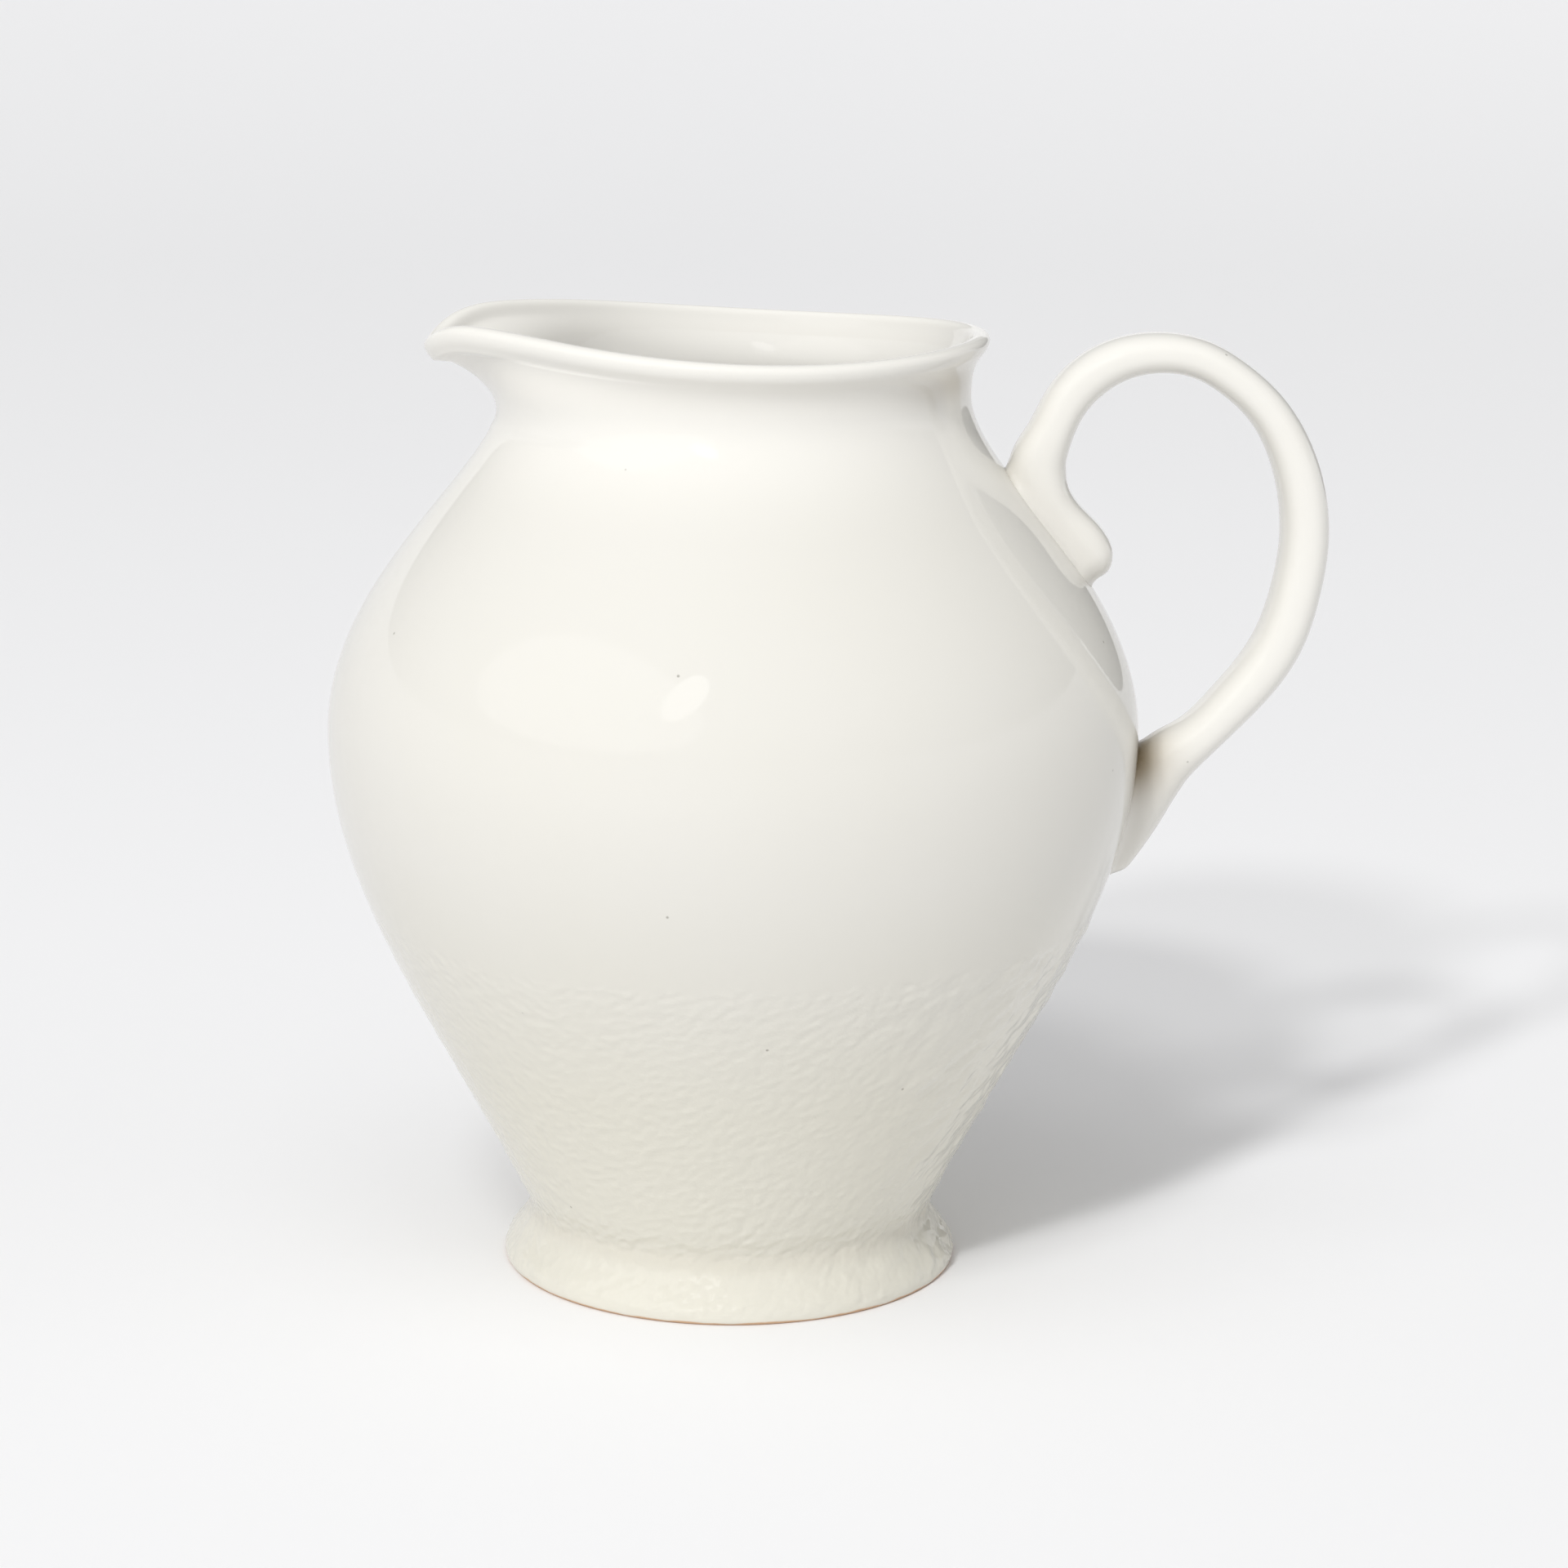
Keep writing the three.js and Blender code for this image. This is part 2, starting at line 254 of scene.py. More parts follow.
def outer_wall():
    """The outside of the clay from the foot's lower edge to the neck: (radius, height) points."""
    return np.vstack([
        arc((FOOT_RADIUS - 0.1, FOOT_EDGE), (FOOT_RADIUS - 0.1, 5.8), (55, 8.4),
            (WAIST_RADIUS, WAIST_HEIGHT), 0.6),
        arc((WAIST_RADIUS, WAIST_HEIGHT), (WAIST_RADIUS - 0.3, 17), (55.3, 18.8), WALL_START, 0.5),
        arc(WALL_START, (80, 69),
            (BELLY_RADIUS, BELLY_HEIGHT - 41), (BELLY_RADIUS, BELLY_HEIGHT), 0.7),
        arc((BELLY_RADIUS, BELLY_HEIGHT), (BELLY_RADIUS, BELLY_HEIGHT + 41),
            (NECK_RADIUS, NECK_HEIGHT - 20), (NECK_RADIUS, NECK_HEIGHT), 1.6),
    ])


def lip():
    """The rolled lip, from the outside of the neck over the rim to the inside."""
    inside = LIP_RADIUS - LIP_THICKNESS
    crest = (LIP_RADIUS + inside) / 2
    over = QUARTER_ROUND * LIP_THICKNESS / 2
    up = QUARTER_ROUND * (RIM_HEIGHT - LIP_HEIGHT)
    return np.vstack([
        arc((NECK_RADIUS, NECK_HEIGHT), (NECK_RADIUS, NECK_HEIGHT + 6),
            (NECK_RADIUS + 1, LIP_HEIGHT - 6), (LIP_RADIUS - 1.4, LIP_HEIGHT - 3.4), 0.6),
        arc((LIP_RADIUS - 1.4, LIP_HEIGHT - 3.4), (LIP_RADIUS - 0.5, LIP_HEIGHT - 2.4),
            (LIP_RADIUS, LIP_HEIGHT - 1.3), (LIP_RADIUS, LIP_HEIGHT), 0.4),
        arc((LIP_RADIUS, LIP_HEIGHT), (LIP_RADIUS, LIP_HEIGHT + up),
            (crest + over, RIM_HEIGHT), (crest, RIM_HEIGHT), 0.6),
        arc((crest, RIM_HEIGHT), (crest - over, RIM_HEIGHT),
            (inside + 0.5, LIP_HEIGHT + 0.9), (inside, LIP_HEIGHT - 0.3), 0.5),
        arc((inside, LIP_HEIGHT - 0.3), (inside - 1.6, LIP_HEIGHT - 4),
            (NECK_RADIUS - WALL, NECK_HEIGHT + 6), (NECK_RADIUS - WALL, NECK_HEIGHT + 0.5), 0.8),
    ])


def inner_wall():
    """The inside, from under the lip down to the floor's middle."""
    outside = outer_wall()
    outside = outside[outside[:, 1] > FLOOR_HEIGHT + 8][::-2]
    run = np.gradient(outside, axis=0)
    run /= np.linalg.norm(run, axis=1)[:, None]
    wall = outside + np.column_stack([run[:, 1], -run[:, 0]]) * WALL
    corner = wall[-1]
    turn_in = arc(corner, corner - (4, 8),
                  (corner[0] - 8, FLOOR_HEIGHT), (corner[0] - 16, FLOOR_HEIGHT), 1)
    floor_run = np.linspace(turn_in[-1, 0], 0, 14)[1:-1]
    floor = np.column_stack([floor_run, np.full(len(floor_run), FLOOR_HEIGHT)])
    return np.vstack([wall, turn_in, floor])


def foot_underneath():
    """From the middle of the underside, out and down the recess, over the standing ring."""
    flat_radius = 38
    ceiling_run = np.linspace(0, flat_radius, 10)[1:]
    ceiling = np.column_stack([ceiling_run, np.full(len(ceiling_run), UNDERSIDE)])
    bore_top = FOOT_BORE - 2.6
    return np.vstack([
        ceiling,
        arc((flat_radius, UNDERSIDE), (flat_radius + 4, UNDERSIDE),
            (bore_top, UNDERSIDE - 2), (bore_top, UNDERSIDE - 6), 1),
        arc((bore_top, UNDERSIDE - 6), (bore_top, 5), (FOOT_BORE - 0.6, 3), (FOOT_BORE, 1), 1),
        arc((FOOT_BORE, 1), (FOOT_BORE, 0.3), (FOOT_BORE + 0.4, 0), (FOOT_BORE + 1, 0), 0.4),
        arc((FOOT_BORE + 1, 0), (FOOT_BORE + 4, 0),
            (FOOT_RADIUS - 5, 0), (FOOT_RADIUS - 1.2, 0), 2),
        arc((FOOT_RADIUS - 1.2, 0), (FOOT_RADIUS - 0.5, 0), (FOOT_RADIUS - 0.1, 0.5),
            (FOOT_RADIUS - 0.1, FOOT_EDGE), 0.4),
    ])


def shape_mouth(radius, angle, height):
    """Lifts the rim into its wave and pulls the spout out of the soft lip."""
    from_spout = math.pi - np.abs(angle)
    inside = radius < LIP_RADIUS - LIP_THICKNESS / 2
    level = height - SPOUT_ROOT_HEIGHT - np.where(inside, SPOUT_FLOOR_THICKNESS, 0)
    pulled = np.clip(level / (SPOUT_FULL_HEIGHT - SPOUT_ROOT_HEIGHT), 0, 1) ** SPOUT_CURL
    pull = SPOUT_PULL * pulled * np.exp(-((from_spout / SPOUT_HALF_ANGLE) ** 2))
    wave = RIM_LIFT - RIM_TILT * np.cos(angle) + RIM_CANT * np.sin(angle)
    wave += RIM_SADDLE * np.cos(2 * angle)
    wave -= SPOUT_DIP * np.exp(-((from_spout / SPOUT_DIP_HALF_ANGLE) ** 2))
    uneven = 1 - EAR_UNEVENNESS * np.sin(angle)
    wave -= EAR_DROP * np.exp(-((from_spout / EAR_HALF_ANGLE) ** 2)) * uneven
    pinched = np.exp(-(((from_spout - PINCH_ANGLE) / PINCH_HALF_ANGLE) ** 2))
    pinched *= np.exp(-(((height - PINCH_HEIGHT) / PINCH_HALF_HEIGHT) ** 2))
    thinned = np.exp(-(((from_spout - THINNED_ANGLE) / THINNED_HALF_ANGLE) ** 2))
    thinned *= np.exp(-(((height - THINNED_HEIGHT) / THINNED_HALF_HEIGHT) ** 2))
    pull += np.where(inside, THINNING * thinned, -PINCH_DEPTH * pinched)
    lifted = smoothstep(height, SPOUT_ROOT_HEIGHT, RIM_HEIGHT)
    above = height > SPOUT_ROOT_HEIGHT
    return radius + np.where(above, pull, 0), height + np.where(above, lifted * wave, 0)


def ripple(radius, angle, height):
    """How far the rippled glaze of the lower wall stands proud or sinks."""
    fade = 1 - smoothstep(height, RIPPLE_TOP - RIPPLE_FADE, RIPPLE_TOP + RIPPLE_FADE)
    x = radius * np.cos(angle)
    y = radius * np.sin(angle)
    leaning = height - RIPPLE_LEAN * np.abs(x - RIPPLE_TURN_X)
    wrinkled = WRINKLE_DEPTH * smoothstep(x, WRINKLES_START_X, WRINKLES_FULL_X) * fade
    lumpy = FOOT_LUMP_DEPTH * (1 - smoothstep(height, FOOT_LUMPS_FULL, FOOT_LUMPS_END))
    elsewhere = 50
    depth = np.zeros_like(radius)
    for i in np.flatnonzero((fade.max(axis=1) > 0.01) & (height.min(axis=1) > 2)):
        for j in range(radius.shape[1]):
            px, py, pz = x[i, j], y[i, j], leaning[i, j]
            across = (px / RIPPLE_LENGTH, py / RIPPLE_LENGTH)
            stroke = noise.noise(Vector((*across, pz / RIPPLE_PITCH)))
            finer = (across[0] * FINE_TO_COARSE, across[1] * FINE_TO_COARSE)
            fine = noise.noise(Vector((*finer, pz / FINE_PITCH + elsewhere)))
            patch = Vector((px / PATCH_WIDTH, py / PATCH_WIDTH, height[i, j] / PATCH_HEIGHT))
            patchy = PATCH_MEAN + PATCH_SWING * noise.noise(patch)
            depth[i, j] = fade[i, j] * RIPPLE_DEPTH * (stroke + FINE_SHARE * fine) * patchy
            if wrinkled[i, j] + lumpy[i, j] > 0:
                fold = Vector((px, py, pz * WRINKLE_SQUASH)) / WRINKLE_PITCH
                depth[i, j] += (wrinkled[i, j] + lumpy[i, j]) * noise.noise(fold)
    return depth


def pool_and_shade(distance, height):
    """How thickly the glaze pooled, with painted shade over it, from 0 to 1, a given distance from
    a joint's crevice.
    """
    deep = np.exp(-(((height - CREVICE_HEIGHT) / CREVICE_HALF_HEIGHT) ** 2))
    close = np.exp(-((np.clip(distance, 0, None) / POOL_AND_SHADE_REACH) ** 1.5))
    return close * (WIPED_POOL_AND_SHADE + (1 - WIPED_POOL_AND_SHADE) * deep)


def skin(name, grid, closed_start, closed_end, glaze):
    """A closed skin over a grid of rings, each ring a loop, with a pole at either end."""
    rings, sides, _ = grid.shape
    points = grid.reshape(-1, 3)
    faces = []
    ring = np.arange(sides)
    onward = np.roll(ring, -1)
    for i in range(rings - 1):
        here = i * sides
        there = here + sides
        faces.append(np.column_stack([here + ring, here + onward, there + onward, there + ring]))
    quads = np.vstack(faces)
    corners = quads.reshape(-1)
    starts = np.arange(0, len(corners), 4)
    extra = []
    for pole, first, flip in ((closed_start, 0, True), (closed_end, (rings - 1) * sides, False)):
        points = np.vstack([points, pole])
        tip = np.full(sides, len(points) - 1)
        fan = (first + onward, first + ring) if flip else (first + ring, first + onward)
        extra.append(np.column_stack([*fan, tip]))
    fans = np.vstack(extra).reshape(-1)
    starts = np.concatenate([starts, len(corners) + np.arange(0, len(fans), 3)])
    corners = np.concatenate([corners, fans])
    mesh = bpy.data.meshes.new(name)
    mesh.vertices.add(len(points))
    mesh.vertices.foreach_set("co", (points * MM).astype(np.float32).ravel())
    mesh.loops.add(len(corners))
    mesh.loops.foreach_set("vertex_index", corners.astype(np.int32))
    mesh.polygons.add(len(starts))
    mesh.polygons.foreach_set("loop_start", starts.astype(np.int32))
    mesh.update(calc_edges=True)
    mesh.validate()
    mesh.shade_smooth()
    for layer, amount in glaze.items():
        values = mesh.attributes.new(layer, "FLOAT", "POINT").data
        values.foreach_set("value", np.append(amount.ravel(), [0, 0]).astype(np.float32))
    piece = bpy.data.objects.new(name, mesh)
    bpy.context.scene.collection.objects.link(piece)
    return piece


def make_vessel(handle_grid):
    outline = np.vstack([foot_underneath(), outer_wall(), lip(), inner_wall()])
    angle = np.linspace(-math.pi, math.pi, TURN_SIDES, endpoint=False)
    radius, angle = np.meshgrid(outline[:, 0], angle, indexing="ij")
    height = np.repeat(outline[:, 1:], TURN_SIDES, axis=1)
    outside = np.zeros(len(outline), bool)
    first = len(foot_underneath())
    outside[first:first + len(outer_wall()) + len(lip())] = True
    sunk = np.zeros_like(radius)
    lower = outside & (outline[:, 1] < RIPPLE_TOP + RIPPLE_FADE)
    sunk[lower] = ripple(radius[lower], angle[lower], height[lower])
    radius, height = shape_mouth(radius + sunk, angle, height)
    grid = np.stack([
        AXIS_X + radius * np.cos(angle),
        radius * np.sin(angle),
        height,
    ], axis=2)
    tree = kdtree.KDTree(handle_grid.shape[0] * handle_grid.shape[1])
    for i, point in enumerate(handle_grid.reshape(-1, 3)):
        tree.insert(point, i)
    tree.balance()
    # Pooled glaze and painted shade on the wall beside the strap.
    pooled_and_shaded = np.zeros_like(radius)
    beside = outside[:, None] & (grid[..., 0] > AXIS_X + BESIDE_HANDLE_X)
    beside &= np.abs(grid[..., 1]) < BESIDE_HANDLE_HALF_WIDTH
    beside &= (grid[..., 2] > BESIDE_HANDLE_LOW) & (grid[..., 2] < BESIDE_HANDLE_HIGH)
    for i, j in np.argwhere(beside):
        to_strap = tree.find(grid[i, j])[2]
        pooled_and_shaded[i, j] = pool_and_shade(WALL_POOL_AND_SHADE_NARROWER * to_strap, grid[i, j, 2])
    # Painted shade under the lip, deeper on the handle's side of the front, and in the waist's
    # crease.
    under_lip = np.exp(-(((height - UNDER_LIP_SHADE_HEIGHT) / UNDER_LIP_SHADE_HALF_HEIGHT) ** 2))
    under_lip *= radius > NECK_RADIUS - WALL / 2
    run = UNDER_LIP_PAINTED_SHADE + WARM_PAINTED_SHADE * np.exp(-(((angle - WARM_SHADE_ANGLE) / WARM_SHADE_HALF_ANGLE) ** 2))
    at_waist = np.exp(-(((height - WAIST_HEIGHT) / WAIST_SHADE_HALF_HEIGHT) ** 2)) * outside[:, None]
    pooled_and_shaded = np.maximum(pooled_and_shaded, run * under_lip + WAIST_PAINTED_SHADE * at_waist)
    # Painted light: a whiter tone from the neck up, brightening the shade under the lip.
    painted_light = smoothstep(height, PAINTED_LIGHT_END, PAINTED_LIGHT_FULL) * outside[:, None]
    glaze = {"pooled_glaze_and_shade": pooled_and_shaded, "painted_light_tint": painted_light}
    return skin("glazed_vessel", grid, (AXIS_X, 0, UNDERSIDE), (AXIS_X, 0, FLOOR_HEIGHT), glaze)


# ---------------------------------------------------------------- handle

def height_above_wall(points):
    """Distance of points from the vessel's outside, and the wall's outward direction there."""
    wall = outer_wall()
    slope = np.gradient(wall[:, 0]) / np.gradient(wall[:, 1])
    radius = np.hypot(points[..., 0] - AXIS_X, points[..., 1])
    wall_radius = np.interp(points[..., 2], wall[:, 1], wall[:, 0])
    lean = np.interp(points[..., 2], wall[:, 1], slope)
    steep = 1 / np.sqrt(1 + lean**2)
    outward = np.stack([
        (points[..., 0] - AXIS_X) / radius * steep,
        points[..., 1] / radius * steep,
        -lean * steep,
    ], axis=-1)
    return (radius - wall_radius) * steep, outward


def smear_onto_wall(grid, normals):
    """Draws the strap's clay out over the wall where they meet, and keeps its root in the wall."""
    above, outward = height_above_wall(grid)
    sideways = normals - np.sum(normals * outward, axis=-1, keepdims=True) * outward
    reach = np.clip(above, 0, CLAY_SMEAR)
    flare = CLAY_SMEAR - np.sqrt(CLAY_SMEAR**2 - (CLAY_SMEAR - reach) ** 2)
    grid = grid + sideways * flare[..., None]
    above, outward = height_above_wall(grid)
    too_deep = np.clip(-ROOT_DEPTH - above, 0, None)
    return grid + outward * too_deep[..., None]


def strap_grid():
    along, route = spline_through(STRAP_STATIONS, STRAP_SPACING)
    centre, half = route[:, :2], route[:, 2:] / 2
    heading = np.gradient(centre, axis=0)
    heading /= np.linalg.norm(heading, axis=1)[:, None]
    from_end = np.minimum(along, along[-1] - along) / half[:, 0]
    full = np.where(from_end < 1, np.sqrt(1 - (1 - np.clip(from_end, 0, 1)) ** 2), 1)
    keep = slice(1, -1)
    centre, half, heading, full = centre[keep], half[keep], heading[keep], full[keep]
    turn = np.linspace(0, 2 * math.pi, STRAP_SIDES, endpoint=False)
    power = 2 / STRAP_SQUARENESS
    across = np.sign(np.cos(turn)) * np.abs(np.cos(turn)) ** power
    sideways = np.sign(np.sin(turn)) * np.abs(np.sin(turn)) ** power
    across = across * (half[:, 0] * full)[:, None]
    sideways = sideways * (half[:, 1] * full)[:, None]
    grid = np.stack([
        AXIS_X + centre[:, :1] + heading[:, 1:] * across,
        sideways,
        centre[:, 1:] - heading[:, :1] * across,
    ], axis=2)
    normals = np.cross(np.gradient(grid, axis=0), np.roll(grid, -1, 1) - np.roll(grid, 1, 1))
    normals /= np.linalg.norm(normals, axis=-1, keepdims=True)
    middle = grid.mean(axis=1, keepdims=True)
    if np.sum(normals * (grid - middle)) < 0:
        normals = -normals
    return smear_onto_wall(grid, normals)


def make_handle(grid):
    above, _ = height_above_wall(grid)
    # Pooled glaze with painted shade by the joints, and painted light whitening the whole strap.
    glaze = {
        "pooled_glaze_and_shade": pool_and_shade(STRAP_POOL_AND_SHADE_NARROWER * above, grid[..., 2]),
        "painted_light_tint": np.full_like(above, HANDLE_PAINTED_LIGHT),
    }
    return skin("strap_handle", grid, grid[0].mean(axis=0), grid[-1].mean(axis=0), glaze)


# ---------------------------------------------------------------- finishes

def linear(hex_colour):
    """An sRGB hex colour as the linear colour a shader wants."""
    parts = [int(hex_colour[i:i + 2], 16) / 255 for i in (1, 3, 5)]
    return [c / 12.92 if c <= 0.04045 else ((c + 0.055) / 1.055) ** 2.4 for c in parts] + [1]


def add(tree, kind, settings=None, inputs=None):
    """Adds a node with its settings, and its inputs given as values or as sockets to link."""
    node = tree.nodes.new(kind)
    for name, value in (settings or {}).items():
        setattr(node, name, value)
    for name, value in (inputs or {}).items():
        if isinstance(value, bpy.types.NodeSocket):
            tree.links.new(value, node.inputs[name])
        else:
            node.inputs[name].default_value = value
    return node


# The colour sockets of a Mix node, which share their names with its number sockets.
MIX_A, MIX_B, MIXED = 6, 7, 2
# Its number sockets: the factor, the two numbers and the result.
SHARE, NUMBER_A, NUMBER_B, NUMBER = 0, 2, 3, 0

# Patterns in the glaze and clay, in repeats to the metre.
CLOUDS = 22.0  # thick and thin glaze, 45 mm across
SWAY = 45.0  # the fired surface, 22 mm from wave to wave
PINHOLE_CELLS = 55.0  # a pinhole about every 18 mm
GLAZE_LINE_WAVES = 120.0  # 8 mm along the foot
GRIT = 900.0  # 1.1 mm, coarser than the real 0.3 mm so that it shows


def new_finish(name):
    finish = bpy.data.materials.new(name)
    finish.use_nodes = True
    finish.node_tree.nodes.clear()
    return finish, finish.node_tree


def white_glaze():
    """Glossy white glaze, poured over buff stoneware and wiped off the standing edge.

    The body shows through it a little, so it is off-white and creamier towards the bottom of the
    wall.
    It is brown in the crevices, where pooled glaze carries painted shade. Painted shade also
    darkens the lip's underside and the waist, and painted light whitens the lip, neck and handle.
    Firing left a wet-looking gloss that sways a little, and a few pinholes.
    """
    finish, tree = new_finish("white_glaze_over_stoneware")
    place = add(tree, "ShaderNodeTexCoord").outputs["Object"]
    up = add(tree, "ShaderNodeSeparateXYZ", None, {"Vector": place}).outputs["Z"]

    # Creamier towards the bottom of the wall, and in slow clouds.
    cloud = add(tree, "ShaderNodeTexNoise", None, {"Vector": place, "Scale": CLOUDS, "Detail": 3.0})
    towards_bottom = add(tree, "ShaderNodeMapRange", None, {
        "Value": up, "From Min": 0.125, "From Max": 0.06, "To Min": 0.0, "To Max": 0.8,
    })
    creamier = add(tree, "ShaderNodeMath", {"operation": "MULTIPLY_ADD"}, {
        0: cloud.outputs["Fac"], 1: 0.3, 2: towards_bottom.outputs["Result"],
    })
    tone = add(tree, "ShaderNodeMix", {"data_type": "RGBA"}, {
        "Factor": creamier.outputs["Value"], MIX_A: linear("#DDDBD5"), MIX_B: linear("#D9D6CA"),
    })

    # Painted light: whitest on the lip, neck and handle, brightening the shade there.
    painted_light_tint = add(tree, "ShaderNodeAttribute", {"attribute_name": "painted_light_tint"})
    painted_light = add(tree, "ShaderNodeMix", {"data_type": "RGBA"}, {
        "Factor": painted_light_tint.outputs["Fac"], MIX_A: tone.outputs[MIXED], MIX_B: linear("#E7E5DF"),
    })

    # Brown in the crevices: glaze pooled over the buff body, darkened further by painted shade.
    pools_and_shade = add(tree, "ShaderNodeAttribute", {"attribute_name": "pooled_glaze_and_shade"})
    pooled_and_shaded = add(tree, "ShaderNodeMix", {"data_type": "RGBA"}, {
        "Factor": pools_and_shade.outputs["Fac"], MIX_A: painted_light.outputs[MIXED], MIX_B: linear("#8F7E60"),
    })

    # Pinholes about half a millimetre wide.
    cells = add(tree, "ShaderNodeTexVoronoi", None, {"Vector": place, "Scale": PINHOLE_CELLS})
    hole = add(tree, "ShaderNodeMapRange", None, {
        "Value": cells.outputs["Distance"], "From Min": 0.012, "From Max": 0.026,
        "To Min": 0.5, "To Max": 0.0,
    })
    pitted = add(tree, "ShaderNodeMix", {"data_type": "RGBA"}, {
        "Factor": hole.outputs["Result"], MIX_A: pooled_and_shaded.outputs[MIXED], MIX_B: linear("#5E5546"),
    })

    # Bare buff clay under a wavering glaze line, 0.7 mm above the table.
    waver = add(tree, "ShaderNodeTexNoise", None, {
        "Vector": place, "Scale": GLAZE_LINE_WAVES, "Detail": 2.0,
    })
    line = add(tree, "ShaderNodeMath", {"operation": "MULTIPLY_ADD"}, {
        0: waver.outputs["Fac"], 1: 0.0014, 2: up,
    })
    bare = add(tree, "ShaderNodeMapRange", None, {
        "Value": line.outputs["Value"], "From Min": 0.0013, "From Max": 0.0016,
        "To Min": 1.0, "To Max": 0.0,
    }).outputs["Result"]
    grit = add(tree, "ShaderNodeTexNoise", None, {"Vector": place, "Scale": GRIT, "Detail": 4.0})
    clay = add(tree, "ShaderNodeMix", {"data_type": "RGBA"}, {
        "Factor": grit.outputs["Fac"], MIX_A: linear("#C09A78"), MIX_B: linear("#D2B497"),
    })
    colour = add(tree, "ShaderNodeMix", {"data_type": "RGBA"}, {
        "Factor": bare, MIX_A: pitted.outputs[MIXED], MIX_B: clay.outputs[MIXED],
    })

    # Glass-smooth where it melted, a little duller in the clouds, and matt on the bare clay.
    polish = add(tree, "ShaderNodeMapRange", None, {
        "Value": cloud.outputs["Fac"], "To Min": 0.02, "To Max": 0.06,
    })
    rough = add(tree, "ShaderNodeMix", {"data_type": "FLOAT"}, {
        SHARE: bare, NUMBER_A: polish.outputs["Result"], NUMBER_B: 0.8,
    })
    sway = add(tree, "ShaderNodeTexNoise", None, {"Vector": place, "Scale": SWAY, "Detail": 1.0})
    skin_of_glaze = add(tree, "ShaderNodeBump", None, {
        "Strength": 0.2, "Distance": 0.0005, "Height": sway.outputs["Fac"],
    })
    surface = add(tree, "ShaderNodeBsdfPrincipled", None, {
        "Base Color": colour.outputs[MIXED],
        "Roughness": rough.outputs[NUMBER],
        "IOR": 1.5,
        "Normal": skin_of_glaze.outputs["Normal"],
    })
    add(tree, "ShaderNodeOutputMaterial", None, {"Surface": surface.outputs["BSDF"]})
    return finish


def pale_floor():
    """Uncoated white paper off a roll: an even, matt, faintly cool white with hardly any sheen."""
    finish, tree = new_finish("pale_paper_sweep")
    surface = add(tree, "ShaderNodeBsdfPrincipled", None, {
        "Base Color": linear("#F2F2F3"),
        "Roughness": 0.9,
        "Specular IOR Level": 0.1,
    })
    add(tree, "ShaderNodeOutputMaterial", None, {"Surface": surface.outputs["BSDF"]})
    return finish


# ---------------------------------------------------------------- studio

def make_sweep():
    """A round paper sweep: flat under the pitcher, then rising slowly on every side."""
    flat, bend_radius, steepest, sides = 3000, 15000, 0.6, 96
    run = [np.array([r, 0.0]) for r in (100, 300, 800, 1600, flat)]
    bend = [
        np.array([flat + bend_radius * math.sin(a), bend_radius * (1 - math.cos(a))])
        for a in np.linspace(0, steepest, 24)[1:]
    ]
    outline = np.array(run + bend)
    angle = np.linspace(0, 2 * math.pi, sides, endpoint=False)
    radius, angle = np.meshgrid(outline[:, 0], angle, indexing="ij")
    tall = np.repeat(outline[:, 1:], sides, axis=1)
    grid = np.stack([radius * np.cos(angle), radius * np.sin(angle), tall], axis=2)
    points = [tuple(p * MM) for p in grid.reshape(-1, 3)] + [(0, 0, 0)]
    faces = [[len(points) - 1, i, (i + 1) % sides] for i in range(sides)]
    for i in range(len(outline) - 1):
        here, there = i * sides, (i + 1) * sides
        for j in range(sides):
            k = (j + 1) % sides
            faces.append([here + j, there + j, there + k, here + k])
    mesh = bpy.data.meshes.new("paper_sweep")
    mesh.from_pydata(points, [], faces)
    mesh.shade_smooth()
    sweep = bpy.data.objects.new("paper_sweep", mesh)
    bpy.context.scene.collection.objects.link(sweep)
    sweep.data.materials.append(pale_floor())
    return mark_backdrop(sweep)


def hang(name, data, bearing, elevation, distance):
    """Hangs a light or card facing the belly. Bearing turns from the front to the spout side."""
    aim = Vector((AXIS_X * MM, 0, BELLY_HEIGHT * MM))
    b, e = math.radians(bearing), math.radians(elevation)
    away = Vector((-math.sin(b) * math.cos(e), -math.cos(b) * math.cos(e), math.sin(e)))
    hung = bpy.data.objects.new(name, data)
    hung.location = aim + away * distance
    hung.rotation_euler = away.to_track_quat("Z", "Y").to_euler()
    bpy.context.scene.collection.objects.link(hung)
    return hung


def add_far_light(name, bearing, elevation, blur, strength):
    """An even light from far away, `blur` degrees across. Its glint comes from a card instead."""
    light = bpy.data.lights.new(name, "SUN")
    light.angle = math.radians(blur)
    light.energy = strength
    hang(name, light, bearing, elevation, 3).visible_glossy = False


def add_softbox(name, bearing, elevation, distance, width, tall, watts):
    """A lit box near the pitcher, so the floor pales around it and darkens further off."""
    light = bpy.data.lights.new(name, "AREA")
    light.shape = "RECTANGLE"
    light.size = width
    light.size_y = tall
    light.energy = watts
    hang(name, light, bearing, elevation, distance).visible_glossy = False


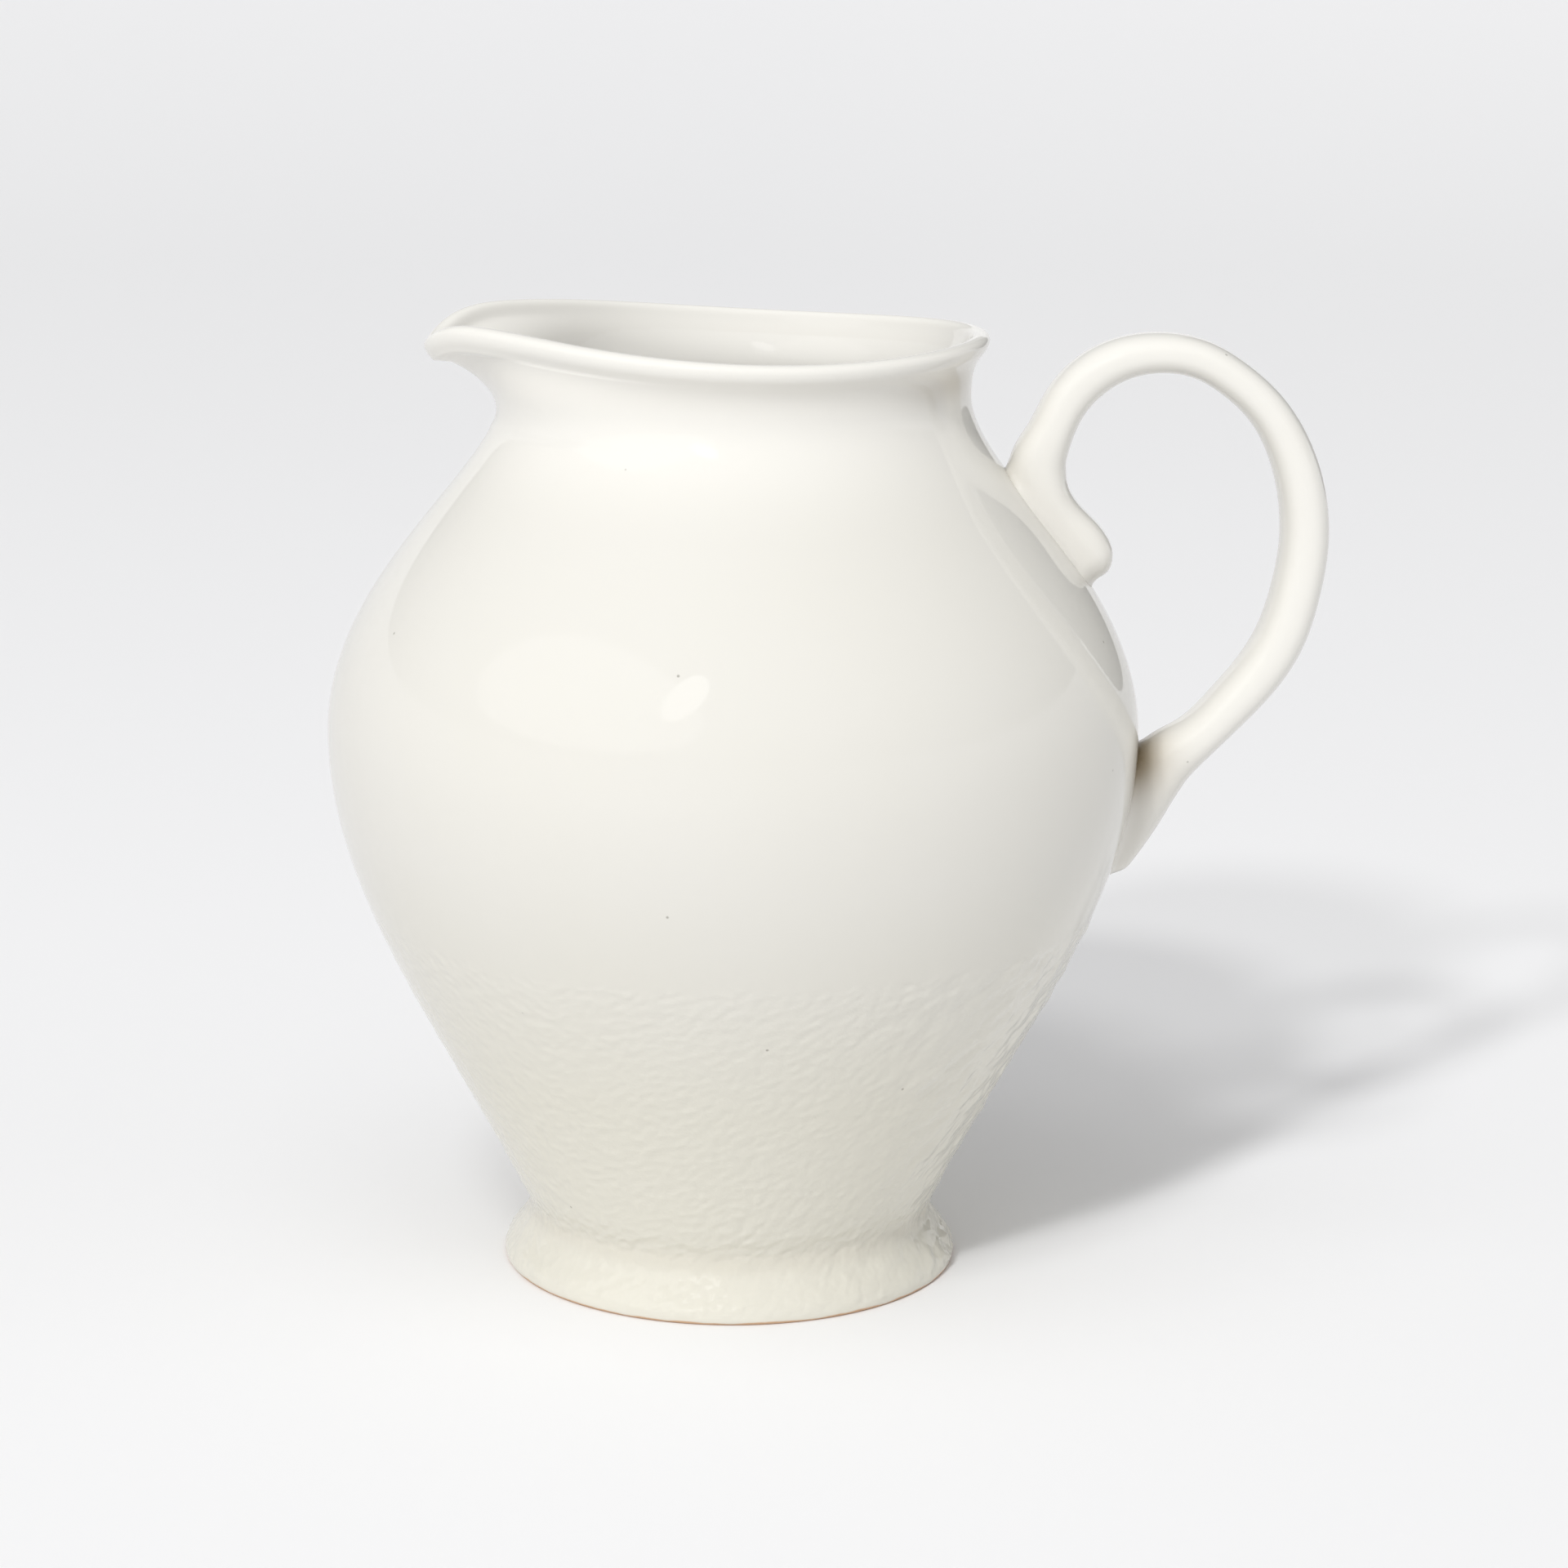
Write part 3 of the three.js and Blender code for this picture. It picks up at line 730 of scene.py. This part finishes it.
def add_card(name, bearing, elevation, across, tall, tilt, glow):
    """An oval card, lit or grey, seen only as a reflection in the glaze. Its sizes are degrees."""
    distance = 2.5
    half = [distance * math.tan(math.radians(size) / 2) for size in (across, tall)]
    sides = 64
    turns = [2 * math.pi * i / sides for i in range(sides)]
    lean = Matrix.Rotation(math.radians(tilt), 3, "Z")
    rim = [lean @ Vector((half[0] * math.cos(t), half[1] * math.sin(t), 0)) for t in turns]
    mesh = bpy.data.meshes.new(name)
    mesh.from_pydata(rim, [], [range(sides)])
    finish, tree = new_finish(name)
    glowing = add(tree, "ShaderNodeEmission", None, {"Strength": glow})
    add(tree, "ShaderNodeOutputMaterial", None, {"Surface": glowing.outputs["Emission"]})
    mesh.materials.append(finish)
    card = hang(name, mesh, bearing, elevation, distance)
    card.visible_camera = card.visible_diffuse = card.visible_shadow = False


def set_studio():
    make_sweep()
    add_far_light("tall_key_low", 27, 31, 5, 0.76)
    add_far_light("tall_key_middle", 23, 40, 5, 0.72)
    add_far_light("tall_key_high", 19, 52, 9, 0.5)
    add_softbox("overhead_softbox", 20, 66, 2.0, 1.6, 1.2, 7)
    add_far_light("handle_side_reflector", -70, 25, 50, 0.17)
    add_card("big_oval_softbox", 46, 32, 66, 34, 0, 0.95)
    add_card("key_glint", 15, 38, 9, 17, -25, 2)
    add_card("grey_flag_behind", -148, 22, 34, 50, 0, 0.2)
    world = bpy.data.worlds.new("white_room")
    world.use_nodes = True
    backdrop = world.node_tree.nodes["Background"]
    backdrop.inputs["Color"].default_value = linear("#FFFFFF")
    backdrop.inputs["Strength"].default_value = 0.46
    bpy.context.scene.world = world
    bpy.context.scene.view_settings.view_transform = "Standard"


def set_camera():
    """A long lens a metre away, looking down a little on the pitcher."""
    camera = bpy.data.cameras.new("camera")
    camera.sensor_width = 36
    camera.lens = 88.60875
    camera.clip_end = 100
    eye = bpy.data.objects.new("camera", camera)
    pitch, roll = math.radians(12.759), math.radians(0.650)
    turn = Matrix.Rotation(math.pi / 2 - pitch, 4, "X") @ Matrix.Rotation(roll, 4, "Z")
    place = Matrix.Translation(Vector((AXIS_X + 13.51, -999.59, 355.93)) * MM)
    eye.matrix_world = place @ turn
    bpy.context.scene.collection.objects.link(eye)
    bpy.context.scene.camera = eye


# ---------------------------------------------------------------- the pitcher

strap = strap_grid()
vessel = make_vessel(strap)
vessel.data.materials.append(white_glaze())
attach(vessel, "root")
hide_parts("vessel_body", "foot_ring", "foot_slip_joint")

handle = make_handle(strap)
handle.data.materials.append(vessel.data.materials[0])
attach(handle, "root")
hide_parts("handle", "upper_handle_slip_joint", "lower_handle_slip_joint")

set_studio()
set_camera()
